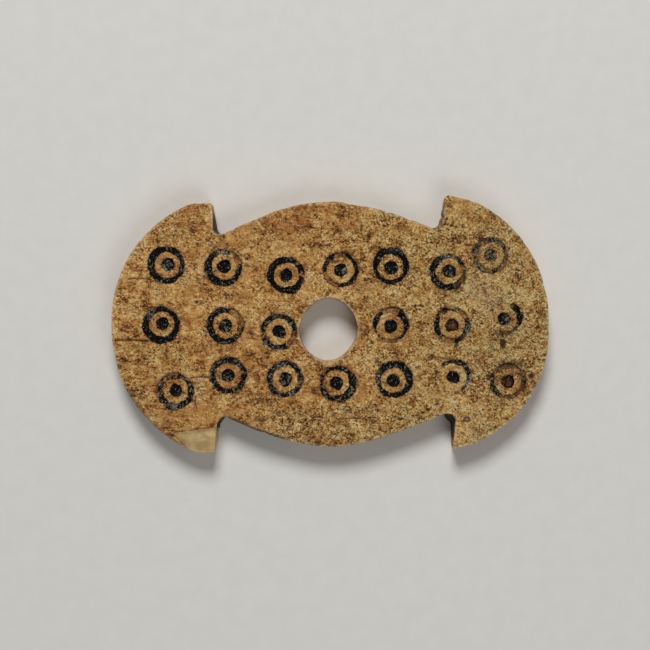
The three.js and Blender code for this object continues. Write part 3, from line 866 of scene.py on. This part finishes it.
def boneMaterial():
    look = boneLook
    material, shader, where = freshMaterial("agedBone")
    warmth, shade = field("warmth"), field("shade")
    fibrous, spongy, cored = field("fibrous"), field("spongy"), field("cored")
    olive, smudged = field("olive"), field("smear")

    # one tone from mottles of several sizes, the fibres towards the left end and the stains
    broad = speckle(where, 0.25, 4, 0.6, 0.6)
    clump = speckle(where, 0.6, 3, 0.6, 0.5)
    mottle = speckle(stretch(where, 0.88, 1.12, 1), 1.9, 4, 0.66, 0.9)
    fine = speckle(where, 4.2, 3, 0.6, 0.6)
    fibre = speckle(stretch(where, 0.42, 1.9, 1.0), 1.7, 5, 0.7, 0.5)
    hue = remap(speckle(where, 0.8, 3, 0.6), 0.42, 0.6, 0.1, 0.8)
    busy = remap(speckle(where, 0.33, 3, 0.6, 0.5), 0.36, 0.6, 0.6, 1.2)
    tone = centred(fine, look["fine"])
    tone = times(tone, weighted(olive, 0.45, 0.95))
    tone = centred(mottle, look["mottle"], tone)
    tone = weighted(tone, busy, 0.56)
    tone = centred(clump, look["clumps"], tone)
    tone = centred(broad, 0.9, tone)
    tone = weighted(centred(fibre, look["fibres"]), weighted(fibrous, 0.7, 0.3), tone)
    tone = weighted(shade, -0.16, tone)
    tone = weighted(olive, 0.07, tone)
    calm = weighted(less(tone, 0.6), 0.55, 0.6)
    calmness = calc("MAXIMUM", times(cored, 0.4), field("smooth"))
    tone = put("ShaderNodeMix", {0: calmness, 2: tone, 3: calm}, data_type="FLOAT").outputs[0]

    # livelier where it is spongy
    gaps = remap(centred(clump, 2.4, spongy), 0.4, 1.0)
    lively = weighted(gaps, look["lively"], 1.0)
    tone = weighted(less(tone, 0.6), lively, 0.6)
    colour = rampOf(tone, look["ramp"])

    # its hue drifts: amber patches, rusty flecks, greyer ground
    warmer = weighted(warmth, 0.2, speckle(stretch(where, 1, 1.3, 1), 0.35, 4, 0.65, 0.8))
    warmed = tint(0.75, colour, look["amber"], "MULTIPLY")
    colour = over(colour, warmed, remap(warmer, 0.5, 0.78, 0, 0.6))
    colour = over(colour, look["amber"], remap(warmer, 0.55, 0.8, 0, 0.4))
    colour = over(colour, look["grey"], remap(warmth, -0.1, -0.9, 0, 0.3))
    colour = over(colour, tint(1.0, colour, look["cool"], "MULTIPLY"), olive, 0.8)
    flecks = weighted(warmth, 0.06, speckle(where, 1.5, 4, 0.7, 0.4))
    flecks = weighted(olive, -0.03, flecks)
    colour = over(colour, look["rust"], remap(flecks, 0.58, 0.7, 0, 0.4))

    # thin old scratches in three directions: turn in degrees, how much they show, colour
    for turn, seen, ink in ((24, 0.5, look["pore"]), (-38, 0.4, look["pore"]), (8, 0.35, look["worn"])):
        angled = {"Vector": where, "Angle": math.radians(turn)}
        spun = put("ShaderNodeVectorRotate", angled, rotation_type="Z_AXIS")
        stroke = speckle(stretch(spun.outputs[0], 0.3, 3.2, 1), 1.1, 2, 0.5, 0.3)
        stroke = remap(centred(fine, 0.35, stroke), 0.64, 0.7)
        colour = over(colour, ink, times(stroke, seen))

    # short dark dashes at the left end
    dashes = cells(stretch(where, 0.42, 2.2, 1), 1.0)
    dash = times(remap(centred(fibre, -0.8, dashes), 0.2, 0.1), fibrous)
    colour = over(colour, look["pore"], dash, 0.6)

    # pores: dark dots, crowded in places, and a few larger ones
    dots = cells(stretch(where, 0.8, 1.1, 1), 1.15)
    size = centred(speckle(where, 0.5, 2, 0.5), 0.9, weighted(spongy, 0.22, 0.06))
    pore = remap(less(dots, size), 0.03, -0.08)
    large = remap(centred(mottle, 0.3, cells(where, 0.4)), 0.17, 0.07)
    pore = calc("MAXIMUM", pore, large)
    colour = over(colour, tint(hue, look["pore"], look["rust"]), pore, 0.7)

    # worm-like channels in the spongier places
    worm = speckle(where, 1.5, 2, 0.5, 1.6)
    ridge = calc("ABSOLUTE", less(worm, 0.5))
    channel = times(remap(ridge, 0.045, 0.015), gaps)
    crumb = times(remap(ridge, 0.08, 0.11, 0, 0.4), gaps)
    colour = over(colour, look["crumb"], crumb)
    colour = over(colour, look["pore"], channel, 0.85)

    # cracks, pits and the red tint of some cores
    crackle = remap(centred(fine, 1.6, field("crackle")), 0.35, 0.8)
    colour = over(colour, look["pore"], crackle, 0.85)
    hollow = remap(centred(fine, 0.8, field("hollow")), 0.1, 0.8)
    pitted = tint(remap(field("hollow"), 0.3, 0.9), look["umber"], look["pore"])
    colour = over(colour, pitted, hollow, 0.9)
    blush = times(field("blush"), remap(speckle(where, 1.9, 4, 0.65), 0.45, 0.62))
    colour = over(colour, look["red"], blush, 0.6)

    # edges: paler along the top edges, partly from handling polish and partly painted highlight, a painted
    # grey highlight on the shaft hole's rim, and dark on the sawn walls with dirt and painted shade
    ragged = speckle(where, 3.4, 3, 0.65)
    # pale rim: partly polish, partly painted highlight
    rim = times(field("rim"), remap(speckle(where, 1.6, 3, 0.6), 0.35, 0.6))
    colour = over(colour, look["worn"], rim, 0.42)
    # painted highlight on the hole's rim
    holeHighlight = times(field("holeHighlight"), remap(ragged, 0.4, 0.6, 0.1, 0.6))
    colour = over(colour, look["holeHighlight"], holeHighlight)
    # the dark of the walls and the two outline stretches is dirt and painted shade
    colour = over(colour, look["dirt"], field("sawn"), 0.92)

    # the black paste: ragged at its edges, flaked where it is going, with grey grit and a few glints
    wavy = speckle(where, 0.7, 2, 0.5)
    inlay = centred(ragged, 0.42, centred(wavy, 0.8, field("inlay")))
    within = remap(inlay, -0.08, 0.05)
    flakes = speckle(where, 1.9, 4, 0.7)
    hold = centred(flakes, 2.4, field("paste"))
    cover = times(within, remap(hold, 0.4, 0.56))
    lines = times(remap(inlay, 0.15, 0.05, 0, 0.75), remap(flakes, 0.4, 0.5))
    remains = times(within, weighted(lines, 1.1, remap(flakes, 0.5, 0.66, 0.04, 0.6)))
    grit = speckle(where, 2.4, 4, 0.72)
    ash = centred(speckle(where, 1.2, 3, 0.6), 1.8, field("ash"))
    black = over(look["paste"], look["ash"], remap(weighted(ash, 0.22, grit), 0.65, 0.75, 0, 0.9))
    glint = weighted(ash, 0.05, speckle(where, 5.5, 2, 0.6))
    black = over(black, look["glint"], remap(glint, 0.66, 0.72, 0, 0.8))
    # painted glints at the listed spots
    pale = times(field("pale"), remap(ragged, 0.48, 0.6, 0, 0.8))
    black = over(black, look["glint"], pale)
    dusty = remap(centred(flakes, 1.6, field("dust")), 0.2, 0.65, 0, 0.95)
    dusty = times(dusty, remap(inlay, 0.12, 0.5, 0.1, 1.0))
    black = over(black, tint(remap(grit, 0.4, 0.6), look["umber"], look["dust"]), dusty)
    outer = less(1.0, cored)
    haze = remap(centred(ragged, 1.4, field("inlay")), -0.4, 0.0, 0, 0.36)
    haze = times(haze, weighted(outer, 0.8, 0.2))
    colour = over(colour, tint(hue, look["umber"], look["rust"]), haze)
    smear = remap(centred(ragged, 1.8, smudged), 0.15, 0.6)
    stain = tint(remap(grit, 0.5, 0.62), look["dirt"], look["dust"])
    stain = over(stain, look["paste"], remap(smudged, 0.5, 0.8))
    colour = over(colour, stain, smear, 0.8)
    colour = over(colour, look["umber"], times(within, outer), 0.3)
    colour = over(colour, look["dirt"], remains)
    colour = over(colour, black, cover)

    # surface: pores and fibres are cut in, the paste is gritty
    height = times(tone, 0.5)
    height = less(height, times(pore, 0.6))
    height = less(height, times(calc("MAXIMUM", channel, dash), 0.5))
    height = weighted(times(grit, cover), 0.8, height)
    feed(shader, {
        "Base Color": colour,
        "Normal": relieved(height, 0.8, 0.00013),
        "Roughness": weighted(mottle, 0.25, look["roughness"] - 0.12),
        "Specular IOR Level": weighted(cover, -0.12, 0.2),
    })
    return material


# The repair's fill: smooth, pale and slightly clouded
fillLook = {
    "body": srgb(232, 204, 148), "cloud": srgb(172, 144, 92), "edge": srgb(150, 108, 56),
    "roughness": 0.4, "glow": 0.12, "glowDepth": 0.0006,
}


def fillMaterial():
    look = fillLook
    material, shader, where = freshMaterial("paleFill")
    cloud = speckle(stretch(where, 0.8, 1.1, 1), 0.45, 3, 0.55, 0.3)
    colour = tint(remap(cloud, 0.34, 0.66), look["body"], look["cloud"])
    colour = over(colour, look["cloud"], field("shore"), 0.4)
    dirt = speckle(where, 2.2, 3, 0.6)
    colour = over(colour, look["edge"], remap(dirt, 0.58, 0.75, 0, 0.3))
    seam = times(field("seam"), remap(dirt, 0.4, 0.6, 0.3, 0.8))
    colour = over(colour, look["edge"], seam)
    feed(shader, {
        "Base Color": colour, "Roughness": look["roughness"],
        "Subsurface Weight": look["glow"], "Subsurface Scale": look["glowDepth"],
        "Normal": relieved(cloud, 0.35, 0.0001),
    })
    return material


# Room that the even points leave: around dots, beside the walls of the cuts, and around other own points
spacing = {"dot": 0.5, "core": 0.26, "ring": 0.3, "past": 0.6, "own": 0.12, "least": 0.06}


def topPoints(loop):
    # the ornamented face's points: an even honeycomb, opened where cuts, cracks and pits bring their own
    grid = honeycomb(loop, plate["topStep"])
    for motif in allCuts:
        grid = grid[lengths(grid - motif["coreMiddle"]) > cuts["dot"] + spacing["dot"]]
    keep = np.ones(len(grid), bool)
    for motif in allCuts:
        fromCore = lengths(grid - motif["coreMiddle"])
        fromMiddle = lengths(grid - motif["middle"])
        nearCore = np.abs(fromCore - cuts["core"]) < spacing["core"]
        nearRing = np.abs(fromMiddle - cuts["ring"]) < spacing["ring"]
        keep &= ~((nearCore | nearRing) & (fromMiddle < cuts["ring"] + spacing["past"]))
    grid = grid[keep]
    own = np.vstack([crackPoints(), pitPoints()])
    for motif in allCuts:
        own = own[lengths(own - motif["middle"]) > cuts["ring"] + spacing["ring"]]
    grid = grid[clearance(grid, own) > spacing["own"]]
    own = spaced(own, spacing["least"])
    return np.vstack([*(circlePoints(motif) for motif in allCuts), own, grid])


# Relief of the two faces, and the distances between which dirt and painted shade come and go on the sawn
# walls
relief = {
    "edgeRoll": 0.1, "rollWidth": (0.2, 1.4), "swell": 0.03, "dips": 0.012,
    "pasteDips": 0.03, "underDips": 0.01,
}
wallDirtAndShade = {"besideWall": (0.8, 1.9), "belowTip": (0.6, 2.2, 4.6, 6), "belowFace": (0.28, 0.5)}


def onFace(places):
    # 1 on the ornamented face, 0 below its rim
    return smoothStep(places[:, 2], plate["thickness"] - 0.06, plate["thickness"] - 0.02)


def finishBone(places, outerTop, holeTop):
    # relief of the ornamented face and of the underside, and the fields that the finish reads
    flat = places[:, :2]
    thick = plate["thickness"]
    fields = cutFields(flat)
    crackle, hollow, sunk = reliefFields(flat)
    warmth, shade = stainAndShadeFields(flat)
    onTop = onFace(places)
    onBase = fade(places[:, 2], 0.02, 0.06)
    fromEdge = clearance(flat, outerTop)
    roll = relief["edgeRoll"] * fade(fromEdge, *relief["rollWidth"])
    swell = relief["swell"] * (1 + waver(flat, 7, 12.5, 2)) + relief["dips"] * waver(flat, 0.9, 3.1, 3)
    deep = np.maximum(fields.pop("depth"), sunk)
    paste = smoothStep(fields["inlay"], 0, 0.1) * fields["paste"]
    deep = deep + relief["pasteDips"] * paste * waver(flat, 0.35, 7.7, 2)
    drop = np.clip(swell, 0, None) + roll + deep
    lift = relief["swell"] * (1 + waver(flat, 6, 21.5, 2)) + relief["underDips"] * waver(flat, 0.8, 5.9, 2)
    places = places.copy()
    places[:, 2] -= onTop * drop
    # the underside stays flat on what it rests on, apart from shallow hollows away from its edges
    hollows = onBase * np.clip(lift, 0, None) * smoothStep(fromEdge, 0.6, 2.0)
    places[:, 2] = np.clip(places[:, 2], 0, None) + hollows
    spongy = 0.45 + 0.55 * smoothStep(-flat[:, 1], 10.5, 13.5) * fade(np.abs(flat[:, 0] - 1.5), 8, 13)
    spongy = np.maximum(spongy, 0.7 * smoothStep(flat[:, 0], 15, 22))
    fibrous = 0.1 + 0.9 * smoothStep(-flat[:, 0], 15, 25)
    olive = smoothStep(flat[:, 0] + waver(flat, 6, 41.3, 2) * 4, 2, 13)
    # a pale band along the top edges of the outline and the hole, partly handling polish and partly painted
    # highlight
    rim = fade(fromEdge, 0.1, 0.45) * smoothStep(places[:, 2], thick - 0.9, thick - 0.2)
    # the walls of the notches were sawn and are dark with dirt and painted shade; each corner's dirt value
    # sets how dark, highest at the lower right notch, whose wall is in shade
    sawn = np.zeros(len(flat))
    for corner in corners.values():
        wallX = plate["length"] / 2 - corner["bladeLength"]
        tipY = plate["width"] / 2 - corner["tipShort"]
        x, y = flat[:, 0] * corner["right"], flat[:, 1] * corner["up"]
        near = fade(np.abs(x - wallX + 0.5), *wallDirtAndShade["besideWall"])
        comes, full, fades, gone = wallDirtAndShade["belowTip"]
        near *= smoothStep(tipY - y, comes, full) * fade(tipY - y, fades, gone)
        sawn = np.maximum(sawn, np.clip(near * corner.get("dirt", 1), 0, 1))
    sawn *= smoothStep(thick - places[:, 2], *wallDirtAndShade["belowFace"])
    # two stretches of the worn outline get painted shade as well, where their bevels face away from the
    # light: at the lower left and left of the lower lobe
    leftLow = smoothStep(-flat[:, 0], 20, 21.5) * smoothStep(-flat[:, 1], 8.5, 10)
    lobeLow = smoothStep(-flat[:, 0], 5, 7) * fade(-flat[:, 0], 15, 16) * smoothStep(-flat[:, 1], 12.5, 13.5)
    sawn = np.maximum(sawn, (0.55 * leftLow + 0.9 * lobeLow) * fade(fromEdge, 0.2, 0.55))
    fields["inlay"] = np.where(onTop > 0.5, fields["inlay"], -cuts["furthest"])
    fields.update(crackle=crackle * onTop, hollow=hollow * onTop, warmth=warmth, shade=shade * onTop,
                  spongy=spongy, fibrous=fibrous, olive=olive, rim=rim, sawn=sawn,
                  smear=patchField(flat, smears) * onTop, pale=patchField(flat, pasteGlints) * onTop,
                  smooth=np.minimum(patchField(flat, smoothSpots), 1) * onTop)
    fields["blush"], fields["cored"] = fields["blush"] * onTop, fields["cored"] * onTop
    # a painted grey highlight on the worn bevel of the shaft hole
    atRim = smoothStep(places[:, 2], thick - 0.9, thick - 0.3)
    fields["holeHighlight"] = fade(clearance(flat, holeTop), 0.16, 0.42) * atRim
    return places, fields


def rimOf(top, base, bevel, baseBevel=plate["baseBevel"]):
    return {"top": top, "base": base, "bevel": easedBevel(top, bevel),
            "baseBevel": easedBevel(base, np.full(len(base), baseBevel))}


edgeTop, edgeBase = wornEdge(evenly(outline(0), outline(1), plate["rimStep"]))
boneEdge, fillEdge = splitAtFill(edgeTop, edgeBase)
print("edge:", len(edgeTop), "points")

boneTop, boneBase, boneJoint = boneEdge
onJoint = boneJoint > 0
bevel = plate["bevel"] * (1 + 0.35 * waver(boneTop, 1.6, 14.2, 3))
inNotch = fade(np.abs(boneTop[:, 0]), 16.2, 17.2) * smoothStep(np.abs(boneTop[:, 1]), 12.8, 14)
bevel = np.where(onJoint, fill["boneBevel"], np.clip(bevel, *plate["bevelRange"]))
bevel = bevel * (1 - plate["notchThinning"] * inNotch)
# the sliver of bone beside the fill is thinner than two bevels, so they narrow there
opposite = np.where(onJoint, clearance(boneTop, boneTop[~onJoint]), clearance(boneTop, boneTop[onJoint]))
room = np.maximum(0.4 * opposite, 0.03)
holeTop = holeLine(plate["rimStep"])
holeBevel = np.clip(hole["rimWear"] * (1 + 0.4 * waver(holeTop, 1.5, 17.2, 3)), 0.1, 0.4)
places, faces = slab(
    "bonePlate", rimOf(boneTop, boneBase, np.minimum(bevel, room), np.minimum(plate["baseBevel"], room)),
    [rimOf(holeTop, holeTop, holeBevel)], topPoints(edgeTop), honeycomb(edgeTop, plate["baseStep"]))
places, fields = finishBone(places, np.vstack([boneTop[~onJoint], holeTop]), holeTop)
bonePlate = piece("bonePlate", places, faces, fields, boneMaterial())
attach(bonePlate, "root")
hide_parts("whorl_plate")
print("bone plate made")

fillTop, fillBase, fillJoint = fillEdge
drawn = (fill["gap"] * fillJoint)[:, None]
fillTop, fillBase = fillTop + inwardOf(fillTop) * drawn, fillBase + inwardOf(fillBase) * drawn
fillBevel = np.where(fillJoint > 0, fill["bevel"], plate["bevel"])
fillPlaces, fillFaces = slab("tipFill", rimOf(fillTop, fillBase, fillBevel), [],
                             honeycomb(fillTop, plate["topStep"]), honeycomb(fillTop, plate["baseStep"]))
flat = fillPlaces[:, :2]
fromJoint = clearance(flat, fillTop[fillJoint > 0])
fromRim = clearance(flat, fillTop[fillJoint == 0])
sink = fill["sunk"] + fill["edgeRoll"] * fade(fromRim, 0.2, 1.2) + 0.02 * waver(flat, 2.5, 31.2, 2)
fillPlaces[:, 2] -= onFace(fillPlaces) * sink
fillFields = {"seam": fade(fromJoint, 0.1, 0.9), "shore": fade(np.minimum(fromRim, fromJoint), 0.2, 1.6)}
tipFill = piece("tipFill", fillPlaces, fillFaces, fillFields, fillMaterial())
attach(tipFill, "root")
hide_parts("tip_fill")
print("tip fill made")


# Floor, lights and camera
studio = {
    "floorSize": 3.0, "floorRows": 40, "floorDrop": 0.00002, "floorRough": 0.00003,
    "floorColour": srgb(232, 230, 224), "floorShade": srgb(205, 202, 196),
    "keyAt": (-0.05, 0.5, 0.56), "keySize": 0.3, "keyPower": 3.7,
    "fillAt": (0.2, -0.4, 0.55), "fillSize": 0.45, "fillPower": 1.05,
    "skyStrength": 0.12,
    "lens": 100, "sensor": 36,
    "photoScale": 62 / 438,            # millimetres to a pixel of the photograph, on the ornamented face
    "photoMiddle": (330, 324),         # the plate's middle in it
    "photoWidth": 650,
}


def floorPiece():
    # a wide sheet with a fine uneven surface
    size, count = studio["floorSize"] / 2, studio["floorRows"]
    line = np.linspace(-size, size, count)
    spots = [(x, y, -studio["floorDrop"] - studio["floorRough"] * abs(noise.noise(Vector((x * 9, y * 9, 0)))))
             for y in line for x in line]
    firsts = [row * count + column for row in range(count - 1) for column in range(count - 1)]
    faces = [(first, first + 1, first + count + 1, first + count) for first in firsts]
    mesh = bpy.data.meshes.new("floor")
    mesh.from_pydata(spots, [], faces)
    made = bpy.data.objects.new("floor", mesh)
    bpy.context.scene.collection.objects.link(made)
    material, shader, where = freshMaterial("palePaper")
    paper = speckle(where, 0.4, 4, 0.6)
    colour = tint(remap(paper, 0.3, 0.7, 0, 0.12), studio["floorColour"], studio["floorShade"])
    feed(shader, {"Base Color": colour, "Roughness": 0.9})
    mesh.materials.append(material)


def softLight(name, at, size, power):
    light = bpy.data.lights.new(name, "AREA")
    light.shape, light.size, light.energy = "DISK", size, power
    lamp = bpy.data.objects.new(name, light)
    lamp.location = at
    lamp.rotation_euler = (-Vector(at)).to_track_quat("-Z", "Y").to_euler()
    bpy.context.scene.collection.objects.link(lamp)


def studioSetup():
    floorPiece()
    softLight("keyLight", studio["keyAt"], studio["keySize"], studio["keyPower"])
    softLight("fillLight", studio["fillAt"], studio["fillSize"], studio["fillPower"])
    world = bpy.data.worlds.new("studio")
    world.use_nodes = True
    world.node_tree.nodes["Background"].inputs["Color"].default_value = (1, 1, 1, 1)
    world.node_tree.nodes["Background"].inputs["Strength"].default_value = studio["skyStrength"]
    bpy.context.scene.world = world
    bpy.context.scene.view_settings.view_transform = "Standard"

    lens = bpy.data.cameras.new("camera")
    lens.lens, lens.sensor_width, lens.sensor_fit = studio["lens"], studio["sensor"], "AUTO"
    lens.clip_start, lens.clip_end = 0.01, 10
    camera = bpy.data.objects.new("camera", lens)
    shown = studio["photoScale"] * studio["photoWidth"]
    distance = shown / studio["sensor"] * studio["lens"]
    middle = studio["photoWidth"] / 2
    camera.location = ((middle - studio["photoMiddle"][0]) * studio["photoScale"] / metre,
                       (studio["photoMiddle"][1] - middle) * studio["photoScale"] / metre,
                       (plate["thickness"] + distance) / metre)
    bpy.context.scene.collection.objects.link(camera)
    bpy.context.scene.camera = camera


studioSetup()
print("studio ready")
